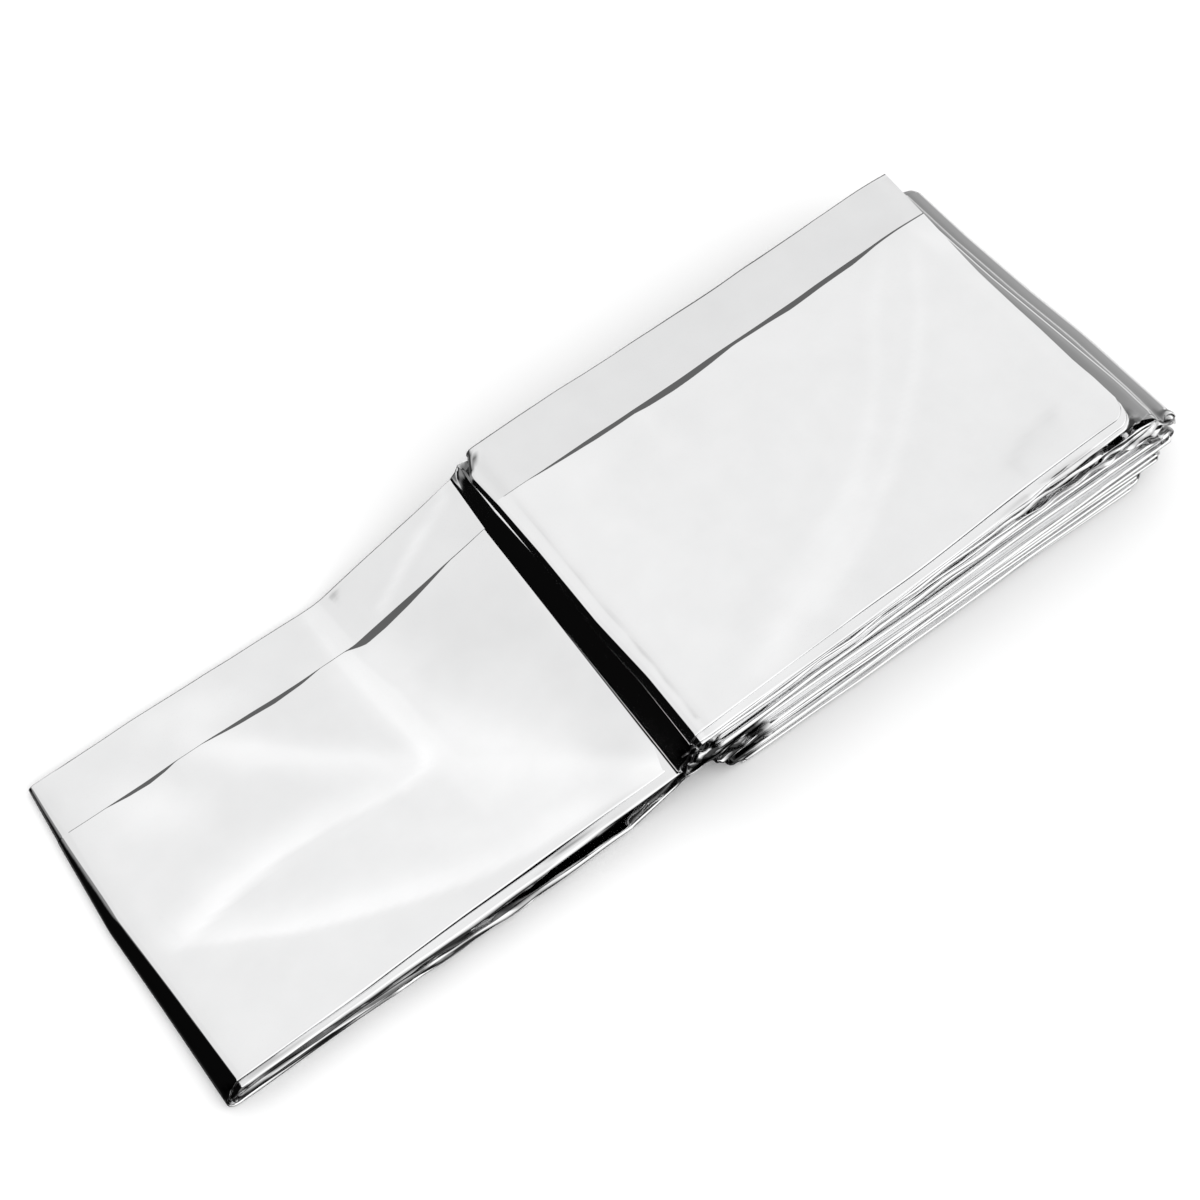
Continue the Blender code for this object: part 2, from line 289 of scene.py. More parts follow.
# Creases pressed up in the film: the amount is the height, and the right-hand side is the steep one.
CREASES = (
    Stroke(8, 0.28, 10.0, 2.6, (
        (-108.5, 32.6, 0.0), (-106.0, 32.7, 0.6), (-97.6, 35.4, 0.9), (-91.5, 36.0, 1.0),
        (-77.5, 34.2, 1.2), (-67.1, 32.6, 1.0), (-57.5, 32.7, 1.0), (-51.0, 33.8, 0.6),
        (-46.0, 36.0, 0.0),
    )),
    Stroke(8, 0.22, 9.0, 2.2, (
        (-107.5, 32.2, 0.0), (-105.5, 31.6, 0.4), (-96.9, 25.8, 1.0), (-88.4, 20.3, 1.1),
        (-79.7, 18.4, 1.0), (-70.4, 14.6, 0.9), (-57.0, 10.4, 0.5), (-44.0, 8.6, 0.0),
    )),
    Stroke(8, 0.30, 8.0, 2.6, (
        (-86.0, 69.0, 0.0), (-80.0, 64.4, 0.8), (-69.2, 54.5, 1.0), (-59.9, 46.1, 0.9),
        (-52.0, 39.8, 0.6), (-47.5, 36.2, 0.0),
    )),
    Stroke(8, 0.30, 12.0, 2.6, (
        (-47.0, 82.0, 0.5), (-47.6, 67.3, 0.7), (-46.6, 56.8, 0.9), (-46.2, 47.9, 1.0),
        (-45.6, 39.5, 0.8), (-46.2, 35.2, 0.6), (-49.2, 32.4, 0.4), (-54.5, 31.4, 0.0),
    )),
    Stroke(8, 0.20, 12.0, 3.6, (
        (-48.5, 39.0, 0.0), (-44.6, 35.8, 0.6), (-38.0, 29.6, 1.0), (-28.9, 21.4, 1.0),
        (-20.0, 13.2, 0.7), (-12.0, 5.6, 0.3), (-8.0, 2.0, 0.0),
    )),
    Stroke(8, 0.22, 7.0, 2.6, (
        (-55.0, 16.6, 0.0), (-46.0, 14.2, 0.8), (-33.0, 10.4, 1.0), (-22.0, 6.9, 0.8),
        (-12.0, 4.2, 0.0),
    )),
    Stroke(8, 0.05, 2.5, 0.9, (
        (-26.5, 73.0, 0.0), (-29.3, 72.2, 1.0), (-32.2, 71.0, 1.0), (-34.6, 68.6, 0.8),
        (-35.5, 66.8, 0.0),
    )),
    Stroke(12, 0.34, 8.0, 6.0, (
        (100.0, 72.0, 0.0), (97.0, 64.5, 0.6), (84.3, 48.0, 0.9), (66.8, 31.0, 1.0),
        (52.0, 19.0, 0.9), (40.0, 10.5, 0.5), (30.0, 5.0, 0.0),
    )),
    Stroke(12, 0.08, 2.0, 1.4, (
        (99.5, 62.0, 0.0), (98.2, 56.0, 1.0), (96.8, 49.0, 0.7), (94.0, 43.0, 0.0),
    )),
    Stroke(12, 0.07, 1.0, 0.6, (
        (95.5, 9.2, 0.0), (97.0, 9.5, 1.0), (98.6, 9.7, 1.0), (100.2, 9.6, 0.0),
    )),
    Stroke(12, 0.16, 5.0, 4.0, (
        (78.0, 3.0, 0.0), (86.0, 6.5, 0.8), (96.0, 8.0, 1.0), (104.0, 12.0, 0.6), (110.0, 17.0, 0.0),
    )),
    Stroke(12, 0.14, 9.0, 3.0, (
        (20.0, 30.0, 0.0), (28.0, 38.0, 0.8), (42.0, 44.0, 1.0), (55.0, 48.0, 0.6), (66.0, 57.0, 0.0),
    )),
)
# Painted highlights along the creases, and painted shade (below 0): the amount is added to the film's
# tone.
PAINTED_GLEAMS_AND_SHADE = (
    Stroke(8, 0.14, 5.5, 1.0, (
        (-107.4, 32.0, 0.3), (-101.3, 32.9, 0.8), (-94.3, 34.3, 1.0), (-81.0, 35.7, 0.9),
        (-70.4, 35.3, 0.8), (-60.7, 33.6, 0.7), (-53.3, 32.4, 0.6), (-47.7, 33.5, 0.3),
    )),
    Stroke(8, 0.12, 5.0, 1.0, (
        (-107.4, 32.2, 0.3), (-100.1, 27.8, 0.8), (-93.6, 24.3, 1.0), (-87.3, 20.4, 1.0),
        (-76.2, 15.7, 1.0), (-64.8, 11.4, 0.9), (-53.2, 7.5, 0.8), (-40.6, 5.2, 0.8),
        (-26.8, 4.3, 0.9), (-14.7, 3.1, 0.9), (-10.5, 2.5, 0.8),
    )),
    Stroke(8, 0.09, 3.5, 4.0, (
        (-86.0, 71.0, 0.2), (-82.0, 67.8, 0.7), (-73.5, 58.7, 1.0), (-63.5, 48.6, 1.0),
        (-55.5, 41.4, 0.8), (-48.7, 35.3, 0.5),
    )),
    Stroke(8, 0.06, 2.6, 0.9, (
        (-47.5, 79.5, 0.6), (-47.9, 67.0, 0.9), (-47.1, 54.1, 0.9), (-45.9, 42.2, 1.0),
        (-46.0, 35.8, 1.0), (-47.7, 33.5, 0.9), (-53.3, 32.4, 0.3),
    )),
    Stroke(8, 0.11, 7.0, 9.0, (
        (-43.5, 67.5, 0.3), (-42.6, 63.8, 0.5), (-41.8, 49.6, 0.8), (-39.4, 35.5, 1.0),
        (-33.0, 24.0, 0.9), (-26.0, 16.2, 0.5), (-21.0, 11.6, 0.0),
    )),
    Stroke(8, 0.11, 2.6, 5.0, (
        (-30.0, 20.5, 0.0), (-25.0, 15.4, 0.5), (-21.2, 11.9, 0.9), (-15.0, 6.8, 1.0),
        (-10.4, 2.8, 0.9),
    )),
    Stroke(8, 0.04, 9.0, 9.0, ((-80.0, 26.0, 0.3), (-62.0, 22.0, 1.0), (-42.0, 18.0, 1.0))),
    Stroke(8, -0.05, 9.0, 11.0, ((-29.0, 63.0, 0.5), (-20.0, 46.0, 1.0), (-10.0, 26.0, 0.8))),
    Stroke(8, 0.07, 6.0, 6.0, ((-100.0, 66.0, 0.8), (-96.7, 60.5, 1.0), (-92.0, 54.0, 0.5))),
    Stroke(8, 0.08, 5.0, 5.0, ((-86.0, 77.5, 0.6), (-76.0, 73.7, 1.0), (-70.0, 70.5, 0.6))),
    Stroke(8, 0.08, 1.4, 1.2, (
        (-10.8, 79.5, 0.5), (-11.4, 77.8, 0.8), (-21.7, 74.4, 1.0), (-34.4, 68.8, 0.8),
    )),
    Stroke(8, -0.02, 6.0, 5.0, ((-92.0, 50.0, 0.6), (-82.7, 46.0, 1.0), (-66.0, 40.0, 0.4))),
    Stroke(8, -0.045, 4.5, 3.0, ((-113.5, 0.0, 1.0), (-113.5, 80.0, 1.0))),
    Stroke(12, 0.032, 1.6, 1.8, (
        (97.8, 63.6, 0.6), (86.0, 53.4, 0.9), (77.0, 41.3, 1.0), (66.2, 31.2, 1.0),
        (57.3, 24.6, 1.0), (44.8, 19.1, 0.9), (30.5, 13.7, 0.6),
    )),
    Stroke(12, 0.04, 1.8, 1.3, (
        (102.8, 59.4, 0.5), (94.0, 46.8, 0.9), (83.1, 36.4, 1.0), (71.5, 27.0, 1.0),
        (61.0, 19.5, 0.9), (48.0, 12.2, 0.7), (32.1, 6.1, 0.6),
    )),
    Stroke(12, 0.075, 3.4, 3.2, (
        (60.0, 22.0, 0.2), (46.0, 15.5, 0.6), (38.0, 12.2, 0.9), (31.0, 9.6, 1.0),
        (23.0, 6.4, 1.0), (15.0, 3.6, 0.8),
    )),
    Stroke(12, -0.05, 1.7, 1.3, (
        (100.0, 10.8, 0.6), (97.9, 10.2, 1.3), (94.0, 9.8, 0.8), (88.7, 8.6, 0.8), (84.5, 6.4, 1.0),
        (84.5, 3.0, 0.5),
    )),
    Stroke(12, -0.02, 7.0, 7.0, ((84.0, 5.0, 0.8), (92.0, 8.0, 1.0), (104.0, 16.0, 0.7))),
    Stroke(12, -0.07, 3.0, 1.8, ((-3.2, 0.0, 1.0), (-3.2, 80.0, 1.0))),
    Stroke(12, -0.16, 0.4, 0.4, (
        (-1.6, 3.0, 1.0), (-1.4, 8.0, 0.3), (-1.5, 13.0, 1.0), (-1.3, 17.0, 0.6), (-1.6, 21.0, 1.2),
        (-1.4, 26.0, 0.2), (-1.7, 31.0, 0.9), (-1.9, 36.0, 0.3), (-1.8, 42.0, 0.8), (-2.0, 48.0, 0.2),
        (-1.8, 55.0, 0.7), (-1.9, 63.0, 0.2), (-1.8, 66.0, 0.0),
    )),
)

# Crumpled places: middle, how far they reach, size of the facets, how far they are pushed, how dark the
# painted shade on the darkest facets is, and how many facets get it (about 0 none, 1.5 nearly all).
Crumple = namedtuple("Crumple", "middle reach facet push dull cover seed")
CRUMPLES = (
    Crumple((113.0, 4.5, 26.6), (7.0, 4.0, 2.2), (4.0, 2.4, 3.0), (0.0, 0.9, 0.9), 0.6, 0.6, 3),
    Crumple((122.0, 1.5, 18.0), (8.0, 4.0, 5.5), (4.0, 2.4, 3.0), (0.0, 0.9, 1.0), 0.5, 0.6, 5),
    Crumple((103.0, 2.2, 26.3), (12.0, 2.4, 1.9), (16.0, 3.0, 2.0), (0.0, 0.0, 0.0), 0.95, 1.2, 4),
    Crumple((108.0, 0.5, 19.5), (14.0, 2.5, 3.0), (5.0, 2.4, 3.0), (0.0, 0.8, 0.5), 0.5, 0.6, 6),
    Crumple((92.0, 1.5, 24.0), (24.0, 3.4, 7.0), (9.0, 2.4, 3.0), (0.0, 0.5, 0.45), 0.2, 0.6, 8),
    Crumple((3.0, 0.6, 6.5), (14.5, 4.4, 9.0), (6.0, 1.5, 1.7), (0.2, 0.5, 0.5), 0.95, 1.3, 12),
    Crumple((-3.0, 0.6, 17.0), (6.0, 4.4, 7.0), (3.4, 1.5, 1.7), (0.3, 0.6, 0.6), 0.95, 1.1, 13),
    Crumple((-5.0, 79.5, 21.0), (4.5, 4.5, 5.0), (2.8, 3.2, 2.2), (0.3, 0.4, 0.5), 0.8, 0.6, 21),
    Crumple((-92.0, 0.6, 4.6), (36.0, 3.8, 4.8), (17.0, 1.4, 1.3), (0.0, 0.6, 0.45), 0.85, 0.6, 31),
    Crumple((-56.0, 0.4, 6.8), (24.0, 3.4, 3.8), (16.0, 1.5, 1.4), (0.0, 0.6, 0.45), 0.8, 0.6, 33),
    Crumple((-29.0, 0.4, 9.2), (20.0, 3.4, 3.2), (15.0, 1.5, 1.4), (0.0, 0.6, 0.4), 0.85, 0.6, 37),
    Crumple((-60.0, 0.6, 1.6), (34.0, 3.0, 3.0), (14.0, 1.5, 1.3), (0.0, 0.6, 0.35), 0.7, 0.6, 35),
    Crumple((45.0, 1.0, 20.0), (50.0, 2.6, 5.0), (17.0, 2.2, 2.4), (0.0, 0.35, 0.3), 0.0, 0.6, 45),
)
CRUMPLE_FADE, PAINTED_SHADE_FADE = 1.4, 3.0  # how sharply the facets and the painted shade end
PATCH_CONTRAST = 1.8  # between facets with painted shade and clear ones


def mix(a, b, share):
    return a + (b - a) * share


def smooth(value):
    """0 below 0, 1 above 1, and a soft S between."""
    value = np.clip(value, 0.0, 1.0)
    return value * value * (3.0 - 2.0 * value)


def climb(value):
    """0 below 0, 1 above 1, and an even slope between that bends softly at its ends."""
    slope = 1.0 / (1.0 - BEND)
    value = np.clip(value, 0.0, 1.0)
    start = 0.5 * slope * value**2 / BEND
    stop = 1.0 - 0.5 * slope * (1.0 - value) ** 2 / BEND
    middle = slope * (value - BEND / 2.0)
    return np.where(value < BEND, start, np.where(value > 1.0 - BEND, stop, middle))


def at(line, v):
    return mix(line.near, line.far, v)


def lookup(rows, value):
    """Amount at a place between the rows of a table of places and amounts."""
    places, amounts = zip(*rows)
    return np.interp(value, places, amounts)


def wander(x, seed, length, amount):
    """Smooth uneven wave along x, the same one each time for a seed."""
    phases = np.random.default_rng(seed).uniform(0.0, 2.0 * math.pi, 3)
    value = 0.0
    for phase, ratio, weight in zip(phases, (1.0, 1.73, 2.91), (0.55, 0.3, 0.15)):
        value = value + weight * np.sin(2.0 * math.pi * x * ratio / length + phase)
    return amount * value


def drift(kind, x, level, number):
    """Slow and quick wave of one of a level's fold lines or spaces."""
    seed = kind.seed + 100 * level + number
    slow = wander(x, seed, kind.slow, kind.slow_amount)
    return slow + wander(x, seed + 50, kind.quick, kind.quick_amount)


def facets(places, seed):
    """Sharp-edged uneven folds through space, from -1 to 1."""
    random = np.random.default_rng(seed)
    value = 0.0
    for direction, phase in zip(random.normal(size=(5, 3)), random.uniform(0.0, 1.0, 5)):
        turn = places @ (direction / np.linalg.norm(direction)) + phase
        value = value + np.abs(turn - np.floor(turn + 0.5)) * 4.0 - 1.0
    return value / 3.0


# ---- the band's levels and folds


def sheet_thickness(level, x, v):
    """The pressed sheet, but for the run's near edge, where the plies stand apart."""
    if level not in (LOWER_RUN, UPPER_RUN):
        return SHEET + 0.0 * x
    looseness = (1.0 - v) ** 2 * smooth((LOOSE_UNTIL - x) / LOOSE_FADE)
    return mix(SHEET, LOOSE_SHEET, looseness)


def packed_height(level, x, v):
    """Height of a level's middle inside the packet."""
    row = LEVELS[level - 1]
    share = np.maximum(x / PANEL, 0.0)
    near = mix(row.near_left, row.near_right, share)
    far = mix(row.far_left, row.far_right, share)
    sag = SAG_SHARE * smooth((x - SAG_FROM) / SAG_OVER)
    return mix(mix(near, far, v), LEVELS[0].near_left, sag)


def run_height(level, x, v):
    """Height of a drawn-out level's middle, left of the packet."""
    row = LEVELS[level - 1]
    if level == LOWER_RUN:
        lift = at(LIFT, v)
        on_surface = sheet_thickness(level, x, v) / 2.0
        packed = packed_height(level, 0.0 * x, v)
        return mix(on_surface, packed, climb((x - lift) / (at(CREST, v) - lift)))
    near_start = RUN_NEAR_TOP - LOOSE_SHEET / 2.0
    near = mix(near_start, row.near_left, (x - RUN_FOLD.near) / -RUN_FOLD.near)
    far_start = 1.5 * SHEET + RUN_FAR_GAP
    far = mix(far_start, row.far_left, climb((x - LIFT.far) / (UPPER_CREST - LIFT.far)))
    return mix(near, far, v)


def height(level, x, v):
    if level not in (LOWER_RUN, UPPER_RUN):
        return packed_height(level, x, v)
    return np.where(x < 0.0, run_height(level, x, v), packed_height(level, x, v))


def level_edge(level, x):
    """Y of a level's near edge."""
    row = LEVELS[level - 1]
    return row.inset + row.skew * x / PANEL


def corner_cut(level, x):
    """How far the top level's rounded near corner lies inside its edge."""
    if level != TOP:
        return 0.0 * x
    past = np.clip(x - (TOP_END[0][1] - CORNER), 0.0, CORNER)
    return CORNER - np.sqrt(CORNER**2 - past**2)


def mouth_share(level, x, v):
    """Share of the plies' reach that is left where a gap opens above a level."""
    left = 1.0
    for mouth in MOUTHS:
        if mouth.level == level:
            along = smooth((x - mouth.start) / (mouth.full - mouth.start))
            left = left - mouth.share * along * smooth(1.0 - v * BAND_WIDTH / mouth.depth)
    return left


def loose_reach(rows, thick, x, v):
    """Reach of the run's plies on their loose side, widest at the near edge."""
    loose = smooth(1.0 - v * BAND_WIDTH / LOOSE_DEPTH)
    return mix(thick, np.maximum(lookup(rows, x), thick), loose)


def gap_above(level, x, v):
    """Reach of a level's plies upwards."""
    thick = sheet_thickness(level, x, v) * OPEN_REACH
    if level == TOP:
        return thick
    share = FILL * mouth_share(level, x, v)
    room = share * (height(level + 1, x, v) - height(level, x, v))
    if level == LOWER_RUN:
        return mix(loose_reach(STAND, thick, x, v), room, smooth((x - CLOSE_FROM) / CLOSE_OVER))
    if level == UPPER_RUN:
        return np.where(x < UPPER_FREE_TO, thick, np.minimum(room, thick))
    return room


def gap_below(level, x, v):
    """Reach of a level's plies downwards."""
    thick = sheet_thickness(level, x, v) * OPEN_REACH
    if level == 1:
        return thick
    share = FILL * mouth_share(level - 1, x, v)
    room = share * (height(level, x, v) - height(level - 1, x, v))
    if level == UPPER_RUN:
        return mix(loose_reach(HANG, thick, x, v), room, smooth((x - CLOSE_FROM) / CLOSE_OVER))
    if level == LOWER_RUN:
        return np.where(x < LOWER_FREE_TO, thick, np.minimum(room, thick))
    return room


# A strip is the middle surface of some stations along the band (rows) at the film's columns.
# near, far: Y of the band's edges; reach_out and reach_in: how far its plies reach on the outer and
# inner side of the band.
Strip = namedtuple("Strip", "x z near far level reach_out reach_in")
EDGES, REACHES = ("near", "far", "level"), ("reach_out", "reach_in")


def level_strip(level, shares, v):
    start, stop = level_ends(level, v)
    x = mix(start, stop, shares[:, None])
    v = v + 0.0 * x
    above, below = gap_above(level, x, v), gap_below(level, x, v)
    outer, inner = (above, below) if level % 2 == 0 else (below, above)
    edge = level_edge(level, x)
    near = edge + corner_cut(level, x)
    number = np.full(x.shape, float(level))
    return Strip(x, height(level, x, v), near, edge + BAND_WIDTH, number, outer, inner)


def shape_points(row, v):
    """X and share of the way up of a shaped fold's points, at each column."""
    shape = SHAPES[row]
    places = [place for place, _ in shape.profiles]
    profiles = np.array([points for _, points in shape.profiles])
    inset, rise = (
        np.array([np.interp(v, places, profiles[:, point, part]) for point in range(profiles.shape[1])])
        for part in (0, 1)
    )
    inward = 1.0 if row % 2 else -1.0
    return lookup(shape.tips, v) + inward * inset, rise


def fold_sides(row, v):
    """X where a cross fold's lower and upper side start to turn."""
    if row in SHAPES:
        x, _ = shape_points(row, v)
        return x[0], x[-1]
    fold = FOLDS[row - 1]
    inward = 1.0 if row % 2 else -1.0
    lower = at(fold, v) + inward * fold_radius(row, v)
    return lower, lower + inward * mix(fold.back_near, fold.back_far, v)


def fold_radius(row, v):
    tip = at(FOLDS[row - 1], v)
    return (height(row + 1, tip, v) - height(row, tip, v)) / 2.0


def level_ends(level, v):
    start = at(BOTTOM_END, v) if level == 1 else fold_sides(level - 1, v)[1]
    stop = lookup(TOP_END, v) if level == TOP else fold_sides(level, v)[0]
    return start, stop


def curve(points, steps):
    """A soft curve through points (first axis), at some steps from the first to the last."""
    before, after = 2.0 * points[0] - points[1], 2.0 * points[-1] - points[-2]
    points = np.concatenate((before[None], points, after[None]))
    first = np.minimum(steps.astype(int), len(points) - 4)
    part = (steps - first).reshape((-1,) + (1,) * (points.ndim - 1))
    a, b, c, d = (points[first + step] for step in range(4))
    bend = (3.0 * (b - c) + d - a) * part + 2.0 * a - 5.0 * b + 4.0 * c - d
    return b + 0.5 * part * (c - a + part * bend)


def fold_strip(row, steps, v):
    below = level_strip(row, np.array((1.0,)), v)
    above = level_strip(row + 1, np.array((0.0,)), v)
    share = (np.arange(1, steps) / steps)[:, None]
    if row in SHAPES:
        points = np.stack(shape_points(row, v), axis=-1)
        x, rise = np.moveaxis(curve(points, share[:, 0] * (len(points) - 1)), -1, 0)
        turn = np.clip(rise, 0.0, 1.0)
        pinch = 1.0 - PINCH * np.sin(math.pi * share)
    else:
        lower, upper = fold_sides(row, v)
        outward = -1.0 if row % 2 else 1.0
        rise = turn = 0.5 - 0.5 * np.cos(math.pi * share)
        x = mix(lower, upper, rise) + outward * fold_radius(row, v) * np.sin(math.pi * share)
        pinch = 1.0
    edges = [mix(getattr(below, part), getattr(above, part), turn) for part in EDGES]
    reaches = [mix(getattr(below, part), getattr(above, part), turn) * pinch for part in REACHES]
    return Strip(x, mix(below.z, above.z, rise), *edges, *reaches)


def join(strips):
    return Strip(*(np.concatenate(parts) for parts in zip(*strips)))


# ---- pieces and stations

# The film is cut in pieces where that is hidden in the packet: share along the cut level where the
# next piece starts, and where the one before stops, a row further on.
Cut = namedtuple("Cut", "start stop")
MIDDLE = 10
CUTS = {LOWER_RUN: Cut(0.255, 0.26), UPPER_RUN: Cut(0.74, 0.745), MIDDLE: Cut(0.49, 0.505)}
Piece = namedtuple("Piece", "name fine first last")
PIECES = (
    Piece("film_base", False, 1, LOWER_RUN),
    Piece("film_run", True, LOWER_RUN, UPPER_RUN),
    Piece("film_middle", True, UPPER_RUN, MIDDLE),
    Piece("film_top", True, MIDDLE, TOP),
)
# Length of a level, and the steps between its stations in its middle and near its ends.
Spread = namedtuple("Spread", "length middle end")
BASE_SPREAD = Spread(PANEL, 2.0, 1.2)
RUN_SPREAD = Spread(240.0, 1.0, 0.6)
UPPER_SPREAD = Spread(PANEL, 1.2, 0.6)
END_ZONE = 12.0  # how far from a level's ends its stations are closer together
FOLD_STEPS, SHAPED_STEPS = 14, 30  # stations round a fold


def level_stations(level):
    """Shares along a level, closer together near its ends."""
    spread = UPPER_SPREAD
    if level < LOWER_RUN:
        spread = BASE_SPREAD
    elif level <= UPPER_RUN:
        spread = RUN_SPREAD
    ends = np.arange(0.0, END_ZONE, spread.end)
    middle_steps = int((spread.length - 2.0 * END_ZONE) / spread.middle)
    middle = np.linspace(END_ZONE, spread.length - END_ZONE, middle_steps + 1)
    return np.concatenate((ends, middle, spread.length - ends[::-1])) / spread.length


def piece_segments(piece):
    """A piece's levels and the folds between them, each with its stations."""
    segments = []
    for level in range(piece.first, piece.last + 1):
        stations = level_stations(level)
        if level == piece.first and level in CUTS:
            stations = stations[stations >= CUTS[level].start]
        if level == piece.last and level in CUTS:
            stations = stations[stations <= CUTS[level].stop]
        segments.append((level_strip, level, stations))
        if level < piece.last:
            segments.append((fold_strip, level, SHAPED_STEPS if level in SHAPES else FOLD_STEPS))
    return segments


# ---- the film's lengthwise folds

# Columns of the film's cross-section, from the flap's free edge to the last ply's free edge.
# ply: its number from the outer face, between two numbers in a lengthwise fold; across: 0 at its
# near and 1 at its far fold; arc: how far out of a lengthwise fold, in depths; lip: share of the
# flap's turned strip.
Columns = namedtuple("Columns", "ply near_fold far_fold across arc lip")
NEAR_SHARES = (0.0, 0.006, 0.014, 0.025, 0.04, 0.06, 0.085)
FAR_SHARES = (0.95, 0.975, 0.99, 1.0)
BETWEEN_SHARES = (0.14, 0.3, 0.5, 0.7, 0.87)
LIP_SHARES = (1.0, 0.93, 0.62, 0.3, 0.04)
# Evenly spaced columns where a ply shows, and on the flap's ply where it doesn't.
FLAP_COLUMNS, UNDER_FLAP_COLUMNS, LAST_PLY_COLUMNS = 46, 12, 16
HIDDEN_FLAP_COLUMNS = 12


def ply_shares(ply, fine):
    """Where a ply has columns between its two folds."""
    if ply == 0:
        inner = np.linspace(0.11, 0.985, FLAP_COLUMNS if fine else HIDDEN_FLAP_COLUMNS)
        return np.concatenate((NEAR_SHARES, inner, (0.997, 1.0)))
    if ply == 1 and fine:
        inner = np.linspace(0.74, 0.94, UNDER_FLAP_COLUMNS)
        return np.concatenate((NEAR_SHARES, (0.2, 0.4, 0.6), inner, FAR_SHARES))
    if ply == PLIES - 1 and fine:
        return np.concatenate((NEAR_SHARES, np.linspace(0.13, 0.9, LAST_PLY_COLUMNS), FAR_SHARES))
    return np.concatenate((NEAR_SHARES, BETWEEN_SHARES, FAR_SHARES))


def film_columns(fine):
    columns = []
    for share in LIP_SHARES:
        columns.append((0.0, 0, 0, 1.0, 0.0, share))
    for ply in range(PLIES):
        towards_near = ply % 2 == 0
        near, far = ply // 2, (ply + 1) // 2
        shares = ply_shares(ply, fine)
        for share in shares[::-1] if towards_near else shares:
            columns.append((float(ply), near, far, share, 0.0, 0.0))
        if ply == PLIES - 1:
            break
        end, side = (0.0, -1.0) if towards_near else (1.0, 1.0)
        for step in range(1, BIGHT_STEPS):
            angle = math.pi * step / BIGHT_STEPS
            place = ply + 0.5 - 0.5 * math.cos(angle)
            columns.append((place, near, far, end, side * math.sin(angle), 0.0))
    return Columns(*(np.array(column) for column in zip(*columns)))


def level_weights(strip):
    """The levels that count in a strip, and how much at each place, as it can lie between two."""
    for level in range(1, TOP + 1):
        weight = np.clip(1.0 - np.abs(strip.level - level), 0.0, 1.0)
        if weight.any():
            yield level, weight


def fold_lines(strip, columns):
    """Y of the near and far fold line that each column's ply runs between, row by row."""
    near, far = strip.near.copy(), strip.far.copy()
    for level, weight in level_weights(strip):
        for fold, inset in enumerate(NEAR_FOLDS[level - 1]):
            shift = inset + drift(NEAR_DRIFT, strip.x, level, fold)
            near += weight * (columns.near_fold == fold) * shift
        for fold, stand in enumerate(FAR_FOLDS):
            shift = stand + drift(FAR_DRIFT, strip.x, level, fold)
            far += weight * (columns.far_fold == fold) * shift
    return near, far


def ply_places(strip, columns):
    """Place of each column in the stack of plies, 0.5 at the outer and -0.5 at the inner side."""
    spaces = [0.0] * (PLIES - 1)
    for level, weight in level_weights(strip):
        leading = int(np.argmin(NEAR_FOLDS[level - 1]))
        for space in range(PLIES - 1):
            base = BETWEEN_PAIRS
            if level in RUN_SPACES:
                base = RUN_SPACES[level][space]
            elif space % 2 == 0:
                base = LEADING_PAIR if space // 2 == leading else OTHER_PAIR
            stretch = np.exp(drift(SPACE_DRIFT, strip.x, level, space))
            spaces[space] = spaces[space] + weight * base * stretch
    total = sum(spaces)
    place = 0.5 + 0.0 * total
    for space, amount in enumerate(spaces):
        place = place - np.clip(columns.ply - space, 0.0, 1.0) * amount / total
    return place


def stroke_amount(row, x, y, crest=0.0):
    """Amount of one stroke over the plane of x and y, its crest moved left of its line."""
    points = np.array(row.points)
    best = np.full(x.shape, np.inf)
    amount = np.zeros(x.shape)
    for (ax, ay, a_share), (bx, by, b_share) in zip(points[:-1], points[1:]):
        along_x, along_y = bx - ax, by - ay
        span = math.hypot(along_x, along_y)
        part = np.clip(((x - ax) * along_x + (y - ay) * along_y) / span**2, 0.0, 1.0)
        away = np.hypot(x - ax - part * along_x, y - ay - part * along_y)
        left = (along_x * (y - ay) - along_y * (x - ax)) / span
        past_end = np.sqrt(np.maximum(away**2 - left**2, 0.0))
        off = np.maximum(np.hypot(left - crest, past_end), 1e-9)
        width = mix(row.right, row.left, 0.5 + 0.5 * (left - crest) / off)
        share = mix(a_share, b_share, part) * np.exp(-((off / width) ** 2))
        amount = np.where(away < best, share, amount)
        best = np.minimum(best, away)
    return row.amount * amount


def film_relief(strip, columns, y):
    """Rise of the upper plies, and their painted highlights and shade: pressed creases, and a slight
    unevenness.
    """
    inside = y - strip.near
    on_run = (np.abs(strip.level - UPPER_RUN) < RUN_FACE) & (strip.x < RELIEF_STOP)
    on_top = strip.level > TOP - TOP_FACE
    face = {UPPER_RUN: on_run, TOP: on_top}
    rise = sum(
        face[row.level] * stroke_amount(row, strip.x, inside, CREASE_TOP * row.right) for row in CREASES
    )
    # painted highlights and painted shade, added to the tone
    painted_light = sum(face[row.level] * stroke_amount(row, strip.x, inside) for row in PAINTED_GLEAMS_AND_SHADE)
    waves = sum(
        wander(along * strip.x + across * y, seed, length, 1.0)
        for along, across, length, seed in UNEVEN_WAVES
    )
    start = np.where(on_run, RUN_FOLD.near, 0.0) + UNEVEN_MARGIN
    stop = np.where(on_run, UPPER_FREE_TO, PANEL) - UNEVEN_MARGIN
    fade = smooth((strip.x - start) / UNEVEN_RISE) * smooth((stop - strip.x) / UNEVEN_RISE)
    fade = fade * smooth(inside / UNEVEN_NEAR_RISE)
    rise += (on_run | on_top) * UNEVEN * (1.0 + 0.5 * waves) * fade
    under_flap = (columns.ply < 1.5) * smooth((inside - UNDER_FLAP_FROM) / UNDER_FLAP_OVER)
    shown = np.where(columns.ply < 0.5, 1.0, under_flap)
    return rise * shown, painted_light * shown


